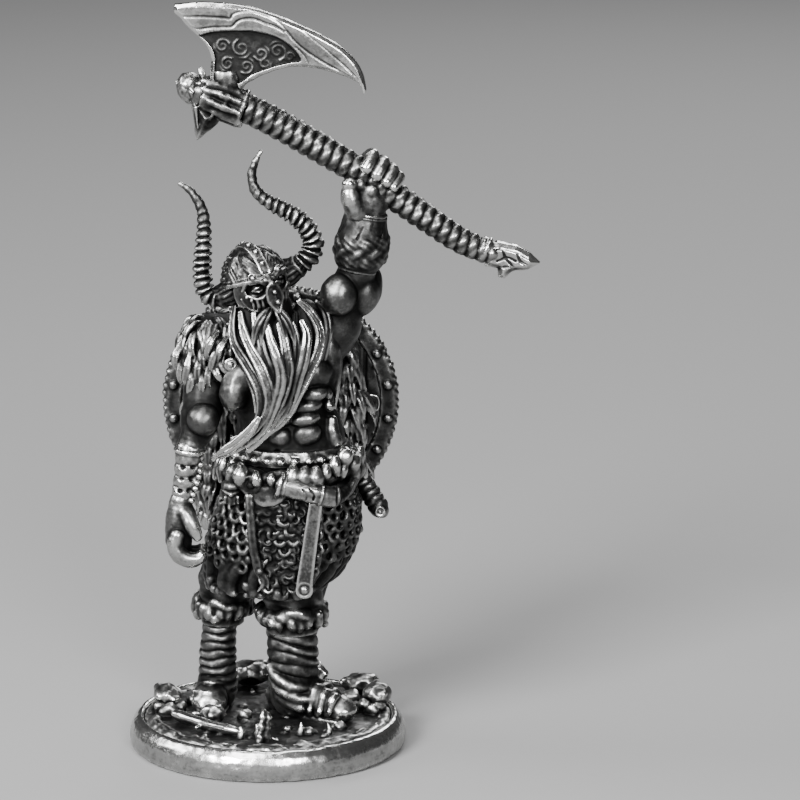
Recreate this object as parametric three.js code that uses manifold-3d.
// A cast pewter tabletop miniature: a horned, bearded northern warrior who lifts a long two-handed
// axe, with a round shield on the back, standing on a round scenic base.
// Units are millimetres. +Z is up, the figure faces -Y, its left arm is on the +X side, and the
// origin is the centre of the base's flat underside.
// The real figure is a kit of castings that meet on pegs and are fixed for good, so every piece is a
// solid of its own, cut back from its neighbours by one clearance.
import * as THREE from "three";
import { mergeVertices } from "three/addons/utils/BufferGeometryUtils.js";
import Module from "manifold-3d";

const wasm = await Module();
wasm.setup();

// ---------------------------------------------------------------- driving dimensions
const GAP = 0.25; // clearance between two castings that meet
const BASE_RADIUS = 9.85;
const BASE_HEIGHT = 2.2;
const RIM_RADIUS = 9.5; // outer edge of the base's upper rim
const RIM_INNER = 8.95; // the recess that the ground insert sits in
const RECESS_FLOOR = 1.3;
const GROUND_TOP = 2.35;
const PIN_RADIUS = 0.5; // locating pins between castings
const SHIELD_CENTRE = [0.95, 24.0]; // x and z
const SHIELD_RADIUS = 8.4;
const SHIELD_RIM_WIDTH = 1.05;
const SHIELD_FRONT = 4.4; // y of the face against the back
const SHIELD_THICKNESS = 0.6;
const AXE_Y = -2.0; // the axe lies in one upright plane through the raised fist
const HAFT_RADIUS = 1.05;
const TENON_RADIUS = 0.65; // the haft's end inside the axe head's socket
const BODY_Y = -1.2; // the middle of the waist, front to back
const WAIST = [1.7, BODY_Y]; // x and y
const WAIST_RADII = [3.9, 3.0];
const BELT_BOTTOM = 19.9;
const BELT_TOP = 21.2;
const HEM = 12.0; // height of the mail skirt's lower edge
const HEAD = [0.0, -3.2, 33.6];
const HELMET = [-0.4, -3.0, 34.6];
const HELMET_RADIUS = 2.7;
const HELMET_BROW = 34.0; // height of the helmet's lower edge

// Limb stations: x, y, z and radius, from one joint to the next.
const RIGHT_LEG = [
  [-3.3, 1.4, 7.9, 0.9], [-3.0, 1.1, 11.0, 1.9], [-1.8, 0.2, 14.6, 2.2],
];
const LEFT_LEG = [
  [1.9, -0.7, 7.9, 1.1], [1.9, -0.8, 11.0, 2.2], [2.6, -0.6, 14.6, 2.3],
];
const RIGHT_UPPER_ARM = [
  [-4.0, -0.6, 28.4, 1.9], [-4.3, -1.8, 26.2, 1.8], [-4.2, -3.0, 24.2, 1.5], [-4.9, -3.2, 23.0, 1.0],
];
const LEFT_UPPER_ARM = [
  [4.6, -0.9, 30.4, 1.9], [5.7, -1.5, 32.8, 1.9], [6.6, -1.8, 34.5, 1.4],
];
const HAFT = [
  [-4.3, AXE_Y, 47.5, TENON_RADIUS], [-2.1, AXE_Y, 46.6, TENON_RADIUS], [-1.5, AXE_Y, 46.4, HAFT_RADIUS],
  [2.5, AXE_Y, 44.3, HAFT_RADIUS], [7.4, AXE_Y, 41.2, HAFT_RADIUS], [12.9, AXE_Y, 37.7, 0.95],
  [15.4, AXE_Y, 36.4, 0.8],
];
const RIGHT_HORN = [
  [-1.9, -2.8, 33.9, 0.5], [-3.3, -2.9, 33.1, 0.52], [-4.2, -2.9, 33.9, 0.5], [-4.3, -2.9, 35.7, 0.46],
  [-4.2, -2.8, 37.6, 0.42], [-4.3, -2.6, 39.3, 0.34], [-4.8, -2.3, 40.5, 0.25], [-5.7, -2.0, 41.0, 0.15],
];
const LEFT_HORN = [
  [1.5, -2.6, 34.7, 0.55], [2.9, -2.4, 35.1, 0.6], [3.7, -2.3, 36.4, 0.6], [3.6, -2.4, 37.9, 0.55],
  [2.6, -2.5, 39.1, 0.45], [1.2, -2.5, 40.0, 0.36], [0.0, -2.4, 40.8, 0.3], [-0.6, -2.2, 41.9, 0.23],
  [-0.3, -2.0, 43.3, 0.13],
];

// ---------------------------------------------------------------- materials
const pewter = (color, roughness) => new THREE.MeshStandardMaterial({ color, roughness, metalness: 1 });
const BRIGHT = pewter(0xc9c9c7, 0.28); // rubbed edges: axe blade, base rim, hands
const ANTIQUED = pewter(0x8d8d8b, 0.38); // skin, straps and armour
const DARK = pewter(0x4c4c4b, 0.5); // fur, cloth and ground, where the black wash stays

// ---------------------------------------------------------------- shapes
// Every shape takes `grow`, the distance by which its whole surface is moved outwards.

/** A closed three.js geometry as a manifold-3d solid with its faces pointing out. */
function solid(geometry) {
  const plain = new THREE.BufferGeometry();
  plain.setAttribute("position", geometry.getAttribute("position"));
  plain.setIndex(geometry.index);
  const merged = mergeVertices(plain, 1e-4);
  const triVerts = new Uint32Array(merged.index.array);
  const make = () =>
    new wasm.Manifold(new wasm.Mesh({ numProp: 3, vertProperties: merged.attributes.position.array, triVerts }));
  const made = make();
  if (made.volume() >= 0) return made;
  for (let i = 0; i < triVerts.length; i += 3) {
    [triVerts[i + 1], triVerts[i + 2]] = [triVerts[i + 2], triVerts[i + 1]];
  }
  return make();
}

const join = (...solids) => solids.reduce((all, one) => all.add(one));

/** An ellipsoid. */
function ball([x, y, z], [rx, ry, rz], grow = 0, around = 10, down = 7) {
  const geometry = new THREE.SphereGeometry(1, around, down);
  geometry.rotateX(Math.PI / 2);
  geometry.scale(rx + grow, ry + grow, rz + grow);
  return solid(geometry.translate(x, y, z));
}

/** A box from its lowest to its highest corner. */
function block(low, high) {
  const size = high.map((value, axis) => value - low[axis]);
  const middle = high.map((value, axis) => (value + low[axis]) / 2);
  return solid(new THREE.BoxGeometry(...size).translate(...middle));
}

/** A round-ended limb through stations [x, y, z, radius]: a turned profile bent along a curve. */
function limb(stations, grow = 0, sides = 8) {
  const path = new THREE.CatmullRomCurve3(stations.map(([x, y, z]) => new THREE.Vector3(x, y, z)));
  const length = path.getLength();
  const steps = Math.max(4, stations.length - 1);
  const frames = path.computeFrenetFrames(steps);
  const radiusAt = (u) => {
    const along = path.getUtoTmapping(u) * (stations.length - 1);
    const before = Math.min(Math.floor(along), stations.length - 2);
    return THREE.MathUtils.lerp(stations[before][3], stations[before + 1][3], along - before) + grow;
  };
  const capAngles = [Math.PI / 2, Math.PI / 4];
  const cap = (u, sign) => capAngles.map((angle) => new THREE.Vector2(
    angle === Math.PI / 2 ? 0 : radiusAt(u) * Math.cos(angle),
    u * length + sign * radiusAt(u) * Math.sin(angle),
  ));
  const middle = Array.from({ length: steps + 1 }, (_, i) =>
    new THREE.Vector2(radiusAt(i / steps), (i / steps) * length));
  const geometry = new THREE.LatheGeometry([...cap(0, -1), ...middle, ...cap(1, 1).reverse()], sides);
  const position = geometry.getAttribute("position");
  const point = new THREE.Vector3();
  for (let i = 0; i < position.count; i++) {
    const [x, y, z] = [position.getX(i), position.getY(i), position.getZ(i)];
    const u = THREE.MathUtils.clamp(y / length, 0, 1);
    const frame = Math.round(u * steps);
    point.copy(path.getPointAt(u))
      .addScaledVector(frames.tangents[frame], y - u * length)
      .addScaledVector(frames.normals[frame], x)
      .addScaledVector(frames.binormals[frame], z);
    position.setXYZ(i, point.x, point.y, point.z);
  }
  return solid(geometry);
}

/** A flat-ended round rod from one point to another. */
function rod(from, to, radiusFrom, radiusTo, grow = 0, sides = 8) {
  const [a, b] = [new THREE.Vector3(...from), new THREE.Vector3(...to)];
  const along = b.clone().sub(a);
  const geometry = new THREE.CylinderGeometry(
    radiusTo + grow, radiusFrom + grow, along.length() + 2 * grow, sides);
  geometry.applyQuaternion(
    new THREE.Quaternion().setFromUnitVectors(new THREE.Vector3(0, 1, 0), along.normalize()));
  const middle = a.add(b).multiplyScalar(0.5);
  return solid(geometry.translate(middle.x, middle.y, middle.z));
}

/** Elliptical sections [z, x, y, radius x, radius y] stacked upwards. */
function stack(sections, grow = 0, sides = 14) {
  const last = sections.length - 1;
  const rings = sections.map((_, i) => new THREE.Vector2(1, i));
  const geometry = new THREE.LatheGeometry([new THREE.Vector2(0, 0), ...rings, new THREE.Vector2(0, last)], sides);
  const position = geometry.getAttribute("position");
  for (let i = 0; i < position.count; i++) {
    const index = Math.round(position.getY(i));
    const [z, x, y, rx, ry] = sections[index];
    const lift = index === 0 ? -grow : index === last ? grow : 0;
    position.setXYZ(
      i, x + position.getX(i) * (rx + grow), y + position.getZ(i) * (ry + grow), z + lift);
  }
  return solid(geometry);
}

/** A profile of [radius, height] turned about Z. */
function turned(profile, sides = 48) {
  const geometry = new THREE.LatheGeometry(profile.map(([r, h]) => new THREE.Vector2(r, h)), sides);
  return solid(geometry.rotateX(Math.PI / 2));
}

/** A profile of [radius, y] turned about the shield's own axis, which runs along Y. */
function turnedShield(profile, sides = 36) {
  const geometry = new THREE.LatheGeometry(profile.map(([r, y]) => new THREE.Vector2(r, y)), sides);
  return solid(geometry.translate(SHIELD_CENTRE[0], 0, SHIELD_CENTRE[1]));
}

/** An outline in X and Z, from its front face at y = front to its back face at y = back. */
function plate(outline, front, back, grow = 0) {
  const geometry = new THREE.ExtrudeGeometry(outline, {
    depth: back - front,
    curveSegments: 4,
    bevelEnabled: grow > 0,
    bevelThickness: grow,
    bevelSize: grow,
    bevelSegments: 1,
  });
  return solid(geometry.rotateX(Math.PI / 2).translate(0, back, 0));
}

const polygon = (points) => new THREE.Shape(points.map(([x, z]) => new THREE.Vector2(x, z)));

/** A closed smooth outline through a few points. */
function smooth(points, count = 20) {
  const loop = new THREE.CatmullRomCurve3(points.map(([x, z]) => new THREE.Vector3(x, z, 0)), true);
  return new THREE.Shape(loop.getSpacedPoints(count).slice(0, -1).map((p) => new THREE.Vector2(p.x, p.y)));
}

// ---------------------------------------------------------------- assembly
const figure = new THREE.Group();
const placed = []; // the grown solids of the pieces made so far, which later pieces are cut back from

/** An empty sub-assembly of the figure. */
function assembly() {
  const group = new THREE.Group();
  figure.add(group);
  return group;
}

/** Makes one casting: its shape, cut back from every earlier one, as a mesh about its own middle. */
function casting(group, name, material, shape) {
  const cut = placed.reduce((left, neighbour) => left.subtract(neighbour), shape(0));
  const whole = cut.decompose().sort((a, b) => b.volume() - a.volume())[0];
  placed.push(shape(GAP));
  const { numProp, vertProperties, triVerts, numVert } = whole.getMesh();
  const points = new Float32Array(numVert * 3);
  for (let i = 0; i < numVert; i++) {
    points.set(vertProperties.subarray(i * numProp, i * numProp + 3), i * 3);
  }
  const geometry = new THREE.BufferGeometry()
    .setAttribute("position", new THREE.BufferAttribute(points, 3))
    .setIndex(new THREE.BufferAttribute(triVerts, 1));
  geometry.computeBoundingBox();
  const middle = geometry.boundingBox.getCenter(new THREE.Vector3());
  geometry.translate(-middle.x, -middle.y, -middle.z);
  geometry.computeVertexNormals();
  const mesh = new THREE.Mesh(geometry, material);
  mesh.name = name;
  mesh.position.copy(middle);
  group.add(mesh);
}

const pins = assembly();
const base = assembly();
const legs = assembly();
const body = assembly();
const head = assembly();
const arms = assembly();
const axe = assembly();
const shield = assembly();

// Locating pins, inside the castings that they join. They come first, so that each socket is cut to fit.
const pin = (name, from, to) =>
  casting(pins, name, ANTIQUED, (grow) => rod(from, to, PIN_RADIUS, PIN_RADIUS, grow));
pin("right_foot_pin", [-3.5, 1.6, 0.7], [-3.5, 1.6, 4.4]);
pin("left_foot_pin", [2.3, -0.4, 0.7], [2.3, -0.4, 4.4]);
pin("neck_pin", [0.4, -1.6, 30.2], [0.1, -2.5, 33.0]);
pin("left_shoulder_pin", [2.4, -1.0, 29.0], [4.9, -1.1, 31.0]);
pin("shield_pin", [SHIELD_CENTRE[0], 2.6, SHIELD_CENTRE[1]],
  [SHIELD_CENTRE[0], SHIELD_FRONT + SHIELD_THICKNESS / 2, SHIELD_CENTRE[1]]);

// ---- the axe, cast whole but for its haft, which passes through the raised fist
casting(axe, "axe_haft", ANTIQUED, (grow) => limb(HAFT, grow));
casting(axe, "axe_socket", ANTIQUED, (grow) =>
  rod([-4.0, AXE_Y, 47.4], [-1.6, AXE_Y, 46.4], 1.3, 1.4, grow, 10));
casting(axe, "axe_top_knob", BRIGHT, (grow) => ball([-5.05, AXE_Y, 47.75], [1.0, 0.95, 0.9], grow));
casting(axe, "axe_blade", BRIGHT, (grow) => {
  const cuttingEdge = [
    [-6.1, 53.5], [-4.4, 53.8], [-2.4, 53.7], [-0.4, 53.4], [1.8, 52.6], [4.1, 51.5], [6.0, 50.0], [7.1, 48.6],
    [7.1, 47.3],
  ];
  const innerEdge = [[6.6, 48.2], [4.9, 48.9], [2.7, 49.2], [1.0, 49.1], [-0.2, 48.6], [-1.2, 47.6]];
  const root = [[-1.9, 46.6], [-3.6, 47.3], [-3.4, 49.0], [-3.6, 50.1], [-4.2, 51.4], [-5.1, 52.5]];
  return plate(polygon([...cuttingEdge, ...innerEdge, ...root]), AXE_Y - 0.35, AXE_Y + 0.35, grow);
});
casting(axe, "axe_back_spike", ANTIQUED, (grow) =>
  plate(polygon([[-4.9, 46.9], [-2.6, 46.1], [-3.2, 45.2], [-4.6, 44.1]]), AXE_Y - 0.45, AXE_Y + 0.45, grow));
casting(axe, "axe_butt_spike", BRIGHT, (grow) =>
  plate(polygon([[15.3, 36.7], [15.9, 37.1], [17.4, 36.7], [19.2, 35.5], [17.7, 34.9], [16.8, 34.5], [16.2, 34.4],
    [15.9, 35.3]]), AXE_Y - 0.6, AXE_Y + 0.6, grow));

// ---- the base and what stands on it
casting(base, "base_disc", BRIGHT, (grow) => turned([
  [0, -grow], [BASE_RADIUS - 0.25 + grow, -grow], [BASE_RADIUS + grow, 0.3], [BASE_RADIUS + grow, 0.9],
  [BASE_RADIUS - 0.12 + grow, 1.6], [RIM_RADIUS + grow, BASE_HEIGHT + grow], [RIM_INNER - grow, BASE_HEIGHT + grow],
  [RIM_INNER - grow, RECESS_FLOOR + grow], [0, RECESS_FLOOR + grow],
]));
casting(base, "ground_insert", DARK, (grow) => turned([
  [0, RECESS_FLOOR - grow], [RIM_INNER + grow, RECESS_FLOOR - grow], [RIM_INNER + grow, 2.0 + grow],
  [RIM_INNER - 0.9, 2.2 + grow], [0, GROUND_TOP + grow],
], 24));
const stone = (name, centre, radii) =>
  casting(base, name, ANTIQUED, (grow) => ball(centre, radii, grow, 8, 6));
stone("left_boulder", [-7.2, 1.3, 2.9], [1.05, 1.35, 0.9]);
stone("right_boulder", [7.8, 1.5, 3.0], [1.0, 1.0, 0.8]);
stone("right_rubble", [6.7, 4.3, 2.9], [1.3, 1.0, 0.7]);
stone("back_rubble", [2.9, 6.4, 3.0], [1.3, 1.0, 0.9]);
stone("rear_rubble", [-1.4, 6.3, 3.0], [1.6, 1.1, 0.9]);
stone("toe_stone", [-3.8, -3.2, 2.9], [0.9, 0.7, 0.75]);
casting(base, "fallen_branch", ANTIQUED, (grow) =>
  limb([[-6.1, -2.6, 2.85, 0.3], [-4.0, -4.7, 2.8, 0.33], [-1.5, -6.1, 2.75, 0.25]], grow, 8));
casting(base, "broken_stake", BRIGHT, (grow) =>
  rod([-0.2, -6.6, 2.3], [0.1, -6.1, 4.3], 0.6, 0.4, grow, 6));

// ---- legs and boots
casting(legs, "right_leg", DARK, (grow) => limb(RIGHT_LEG, grow));
casting(legs, "left_leg", DARK, (grow) => limb(LEFT_LEG, grow));
casting(legs, "right_boot", ANTIQUED, (grow) => join(
  limb([[-3.6, 1.7, 3.8, 1.45], [-3.5, 1.5, 6.4, 1.4], [-3.4, 1.4, 7.9, 1.3]], grow),
  limb([[-3.7, 2.3, 3.2, 1.1], [-3.9, 1.0, 3.2, 1.2], [-4.1, 0.1, 3.0, 1.0]], grow),
));
casting(legs, "left_boot", ANTIQUED, (grow) => join(
  limb([[2.1, -0.4, 3.8, 1.65], [1.9, -0.5, 6.2, 1.8], [1.8, -0.6, 7.8, 1.9]], grow),
  limb([[1.6, 0.5, 3.2, 1.1], [3.3, -0.9, 3.2, 1.25], [5.3, -2.1, 2.9, 0.85]], grow),
));
casting(legs, "right_boot_cuff", ANTIQUED, (grow) => stack([
  [8.6, -3.3, 1.4, 1.6, 1.6], [9.2, -3.3, 1.4, 1.85, 1.85], [10.0, -3.2, 1.3, 2.1, 2.1],
  [10.4, -3.2, 1.3, 2.0, 2.0],
], grow, 10));
casting(legs, "left_boot_cuff", ANTIQUED, (grow) => stack([
  [8.4, 1.8, -0.7, 2.0, 2.0], [9.0, 1.8, -0.7, 2.4, 2.4], [10.0, 1.8, -0.7, 2.5, 2.5],
  [10.5, 1.8, -0.7, 2.4, 2.4],
], grow, 10));

// ---- trunk
casting(body, "torso", ANTIQUED, (grow) => stack([
  [18.6, ...WAIST, 3.4, 2.5], [20.6, ...WAIST, ...WAIST_RADII], [23.0, 1.6, -1.4, 3.9, 3.2],
  [26.0, 1.0, -1.3, 4.2, 3.2], [28.5, 0.7, -1.0, 4.6, 2.9], [30.4, 0.6, -0.9, 3.4, 2.2],
  [31.4, 0.5, -1.2, 1.5, 1.4],
], grow));

// ---- arms and hands
casting(arms, "left_hand", BRIGHT, (grow) => join(
  limb([[7.2, AXE_Y, 38.5, 1.25], [7.4, AXE_Y, 40.4, 1.35]], grow),
  ball([7.5, AXE_Y, 41.3], [1.95, 1.75, 1.55], grow),
));
casting(arms, "left_bracer", ANTIQUED, (grow) => stack([
  [34.7, 6.5, -1.9, 1.5, 1.5], [35.4, 6.65, -1.9, 1.85, 1.8], [36.6, 6.85, AXE_Y, 2.0, 1.9],
  [38.0, 7.1, AXE_Y, 1.75, 1.7], [38.9, 7.25, AXE_Y, 1.6, 1.6],
], grow, 12));
casting(arms, "left_upper_arm", ANTIQUED, (grow) => join(
  limb(LEFT_UPPER_ARM, grow), ball([5.2, -2.6, 33.5], [1.35, 1.3, 1.5], grow)));
casting(arms, "right_hand", BRIGHT, (grow) => join(
  limb([[-5.7, -3.3, 17.9, 0.85], [-5.7, -3.5, 16.2, 1.15], [-5.1, -3.7, 14.7, 0.85]], grow),
  limb([[-5.2, -3.9, 17.0, 0.45], [-4.6, -4.5, 15.4, 0.4]], grow, 6),
));
casting(arms, "right_bracer", ANTIQUED, (grow) =>
  rod([-5.3, -3.2, 22.4], [-5.7, -3.3, 18.3], 1.15, 1.0, grow, 10));
casting(arms, "right_upper_arm", ANTIQUED, (grow) => limb(RIGHT_UPPER_ARM, grow));

// ---- head, helmet and beard
casting(head, "head", ANTIQUED, (grow) => ball(HEAD, [1.95, 2.0, 2.1], grow));
casting(head, "right_horn", DARK, (grow) => limb(RIGHT_HORN, grow));
casting(head, "left_horn", DARK, (grow) => limb(LEFT_HORN, grow));
casting(head, "helmet", ANTIQUED, (grow) => {
  const skull = ball(HELMET, [HELMET_RADIUS, HELMET_RADIUS, 2.35], grow, 14, 9);
  return skull.subtract(block([-6, -9, 28], [6, 3, HELMET_BROW - grow]));
});
casting(head, "face_guard", BRIGHT, (grow) => {
  const mask = ball([HEAD[0] + 0.1, HEAD[1], HELMET_BROW - 0.6], [2.45, 2.75, 2.3], grow, 14, 9);
  return mask.intersect(block([-2.6 - grow, -8, 32.4 - grow], [2.6 + grow, HEAD[1] - 0.9 + grow, 34.0 + grow]));
});
casting(head, "crest_band", BRIGHT, (grow) => {
  const ring = new THREE.LatheGeometry([
    [2.3 - grow, -0.3 - grow], [2.95 + grow, -0.3 - grow], [2.95 + grow, 0.3 + grow], [2.3 - grow, 0.3 + grow],
    [2.3 - grow, -0.3 - grow],
  ].map(([r, h]) => new THREE.Vector2(r, h)), 20);
  ring.rotateZ(Math.PI / 2).scale(1, 1, 0.9).rotateZ(0.45).translate(...HELMET);
  return solid(ring).subtract(block([-6, -9, 28], [6, 3, HELMET[2] + 0.7 - grow]));
});
casting(head, "moustache", ANTIQUED, (grow) => limb([
  [-1.9, -4.9, 31.9, 0.35], [-0.6, -5.7, 32.3, 0.5], [0.6, -6.0, 32.2, 0.45], [1.8, -5.8, 32.3, 0.5],
  [3.0, -5.0, 31.9, 0.35],
], grow, 6));
casting(head, "beard", ANTIQUED, (grow) => stack([
  [22.2, -2.3, -5.4, 1.2, 0.45], [23.3, -1.6, -5.4, 1.8, 0.8], [25.0, -0.2, -5.2, 1.7, 1.2],
  [27.5, 0.6, -5.1, 2.5, 1.4], [30.0, 1.0, -4.8, 3.0, 1.5], [32.2, 1.0, -4.2, 3.0, 1.4],
  [33.2, 1.0, -3.6, 2.6, 1.2],
], grow, 12));

// ---- belt and what hangs from it
const HORN_MOUTH = [2.1, -5.5, 20.2];
casting(body, "drinking_horn", BRIGHT, (grow) => limb([
  [...HORN_MOUTH, 0.85], [3.3, -5.4, 19.8, 0.85], [5.1, -4.5, 19.4, 0.7], [6.2, -3.0, 20.0, 0.5],
  [6.6, -1.6, 21.2, 0.3],
], grow));
casting(body, "horn_mouth_rim", BRIGHT, (grow) =>
  rod([1.5, -5.5, 20.35], [1.0, -5.5, 20.5], 1.0, 1.0, grow, 12));
casting(body, "belt_buckle", BRIGHT, (grow) =>
  rod([-0.9, -5.4, 20.4], [-0.9, -4.7, 20.4], 0.75, 0.75, grow, 10));
casting(body, "belt_pouch", ANTIQUED, (grow) => ball([-2.3, -4.0, 19.6], [0.75, 0.85, 0.95], grow, 8, 6));
casting(body, "belt", ANTIQUED, (grow) => stack([
  [BELT_BOTTOM, ...WAIST, WAIST_RADII[0] + 0.75, WAIST_RADII[1] + 0.75],
  [(BELT_BOTTOM + BELT_TOP) / 2, ...WAIST, WAIST_RADII[0] + 0.95, WAIST_RADII[1] + 0.95],
  [BELT_TOP, ...WAIST, WAIST_RADII[0] + 0.75, WAIST_RADII[1] + 0.85],
], grow, 16));
casting(body, "studded_band", ANTIQUED, (grow) => stack([
  [BELT_TOP + 0.35, ...WAIST, WAIST_RADII[0] + 0.6, WAIST_RADII[1] + 0.8],
  [BELT_TOP + 1.05, 1.65, BODY_Y - 0.1, WAIST_RADII[0] + 0.6, WAIST_RADII[1] + 0.8],
], grow, 16));
casting(body, "knife_grip", ANTIQUED, (grow) =>
  limb([[6.6, 0.9, 19.6, 0.5], [7.5, 0.7, 18.3, 0.6], [8.4, 0.5, 17.1, 0.62]], grow));
casting(body, "knife_sheath", DARK, (grow) =>
  limb([[5.9, 1.4, 20.4, 0.55], [3.8, 2.4, 21.6, 0.5], [1.4, 2.6, 23.0, 0.35]], grow));
casting(body, "strap_end", BRIGHT, (grow) => {
  const tongue = new THREE.Shape();
  tongue.moveTo(3.1, 19.3).lineTo(2.2, 12.9).absarc(2.75, 12.75, 0.6, Math.PI, 2 * Math.PI).lineTo(4.2, 19.3);
  return plate(tongue, -5.65, -5.2, grow);
});
casting(body, "side_thong", ANTIQUED, (grow) =>
  limb([[-1.0, -5.2, 19.3, 0.25], [-0.9, -5.35, 16.6, 0.25], [-0.4, -5.2, 14.2, 0.25], [0.1, -5.0, 12.8, 0.22]],
    grow, 6));
casting(body, "loin_panel", DARK, (grow) =>
  plate(smooth([[-1.2, 19.4], [-1.2, 16.5], [-0.6, 13.6], [0.8, 12.0], [2.2, 11.8], [3.6, 13.6], [4.1, 16.5],
    [4.0, 19.4], [1.4, 19.6]]), -4.95, -4.45, grow));
casting(body, "mail_skirt", DARK, (grow) => stack([
  [HEM, 0.4, -0.6, 4.4, 3.6], [HEM + 1.2, 0.7, -0.7, 4.9, 3.9], [16.0, 1.3, -0.9, 5.2, 4.0],
  [18.2, 1.6, -1.0, 4.9, 3.7], [BELT_BOTTOM - GAP, ...WAIST, 4.1, 3.2],
], grow, 16));

// ---- shield, on its pin behind the cloak
const SHIELD_BACK = SHIELD_FRONT + SHIELD_THICKNESS;
casting(shield, "shield_rim", ANTIQUED, (grow) => turnedShield([
  [SHIELD_RADIUS - SHIELD_RIM_WIDTH - grow, SHIELD_FRONT - 0.2 - grow],
  [SHIELD_RADIUS + grow, SHIELD_FRONT - 0.2 - grow],
  [SHIELD_RADIUS + grow, SHIELD_BACK + 0.2 + grow],
  [SHIELD_RADIUS - SHIELD_RIM_WIDTH - grow, SHIELD_BACK + 0.2 + grow],
  [SHIELD_RADIUS - SHIELD_RIM_WIDTH - grow, SHIELD_FRONT - 0.2 - grow],
]));
casting(shield, "shield_board", DARK, (grow) => turnedShield([
  [0, SHIELD_FRONT - grow], [SHIELD_RADIUS - SHIELD_RIM_WIDTH + grow, SHIELD_FRONT - grow],
  [SHIELD_RADIUS - SHIELD_RIM_WIDTH + grow, SHIELD_BACK + grow], [0, SHIELD_BACK + grow],
]));
casting(shield, "shield_boss", BRIGHT, (grow) => turnedShield([
  [0, SHIELD_BACK + GAP - grow], [2.2 + grow, SHIELD_BACK + GAP - grow], [2.2 + grow, SHIELD_BACK + 0.5],
  [1.7 + grow, SHIELD_BACK + 0.6 + grow], [1.2 + grow, SHIELD_BACK + 1.3 + grow],
  [0.5, SHIELD_BACK + 1.65 + grow], [0, SHIELD_BACK + 1.7 + grow],
], 16));
casting(shield, "shield_grip_bar", ANTIQUED, (grow) => {
  const [x, z] = SHIELD_CENTRE;
  const reach = SHIELD_RADIUS - SHIELD_RIM_WIDTH - 0.9;
  const [front, back] = [SHIELD_FRONT - 0.65 - grow, SHIELD_FRONT - GAP + grow];
  const bar = block([x - reach - grow, front, z - 0.4 - grow], [x + reach + grow, back, z + 0.4 + grow]);
  return bar.add(rod([x, front, z], [x, back, z], 1.3 + grow, 1.3 + grow, 0, 12));
});

// ---- fur, cut back last from everything it lies on
casting(body, "shoulder_pelt", DARK, (grow) => ball([-3.9, 0.1, 28.0], [3.0, 3.4, 3.5], grow)
  .subtract(block([-8, -5, 20], [0, 5, 25.6])));
casting(body, "fur_cloak", DARK, (grow) =>
  plate(smooth([[0.6, 31.4], [-3.0, 30.8], [-5.2, 28.2], [-5.6, 24.0], [-4.4, 20.0], [-2.6, 17.4], [0.8, 16.6],
    [4.4, 17.4], [6.2, 20.0], [6.8, 24.0], [6.2, 28.2], [3.8, 30.8]]), 1.5, 3.3, grow));

export default figure;
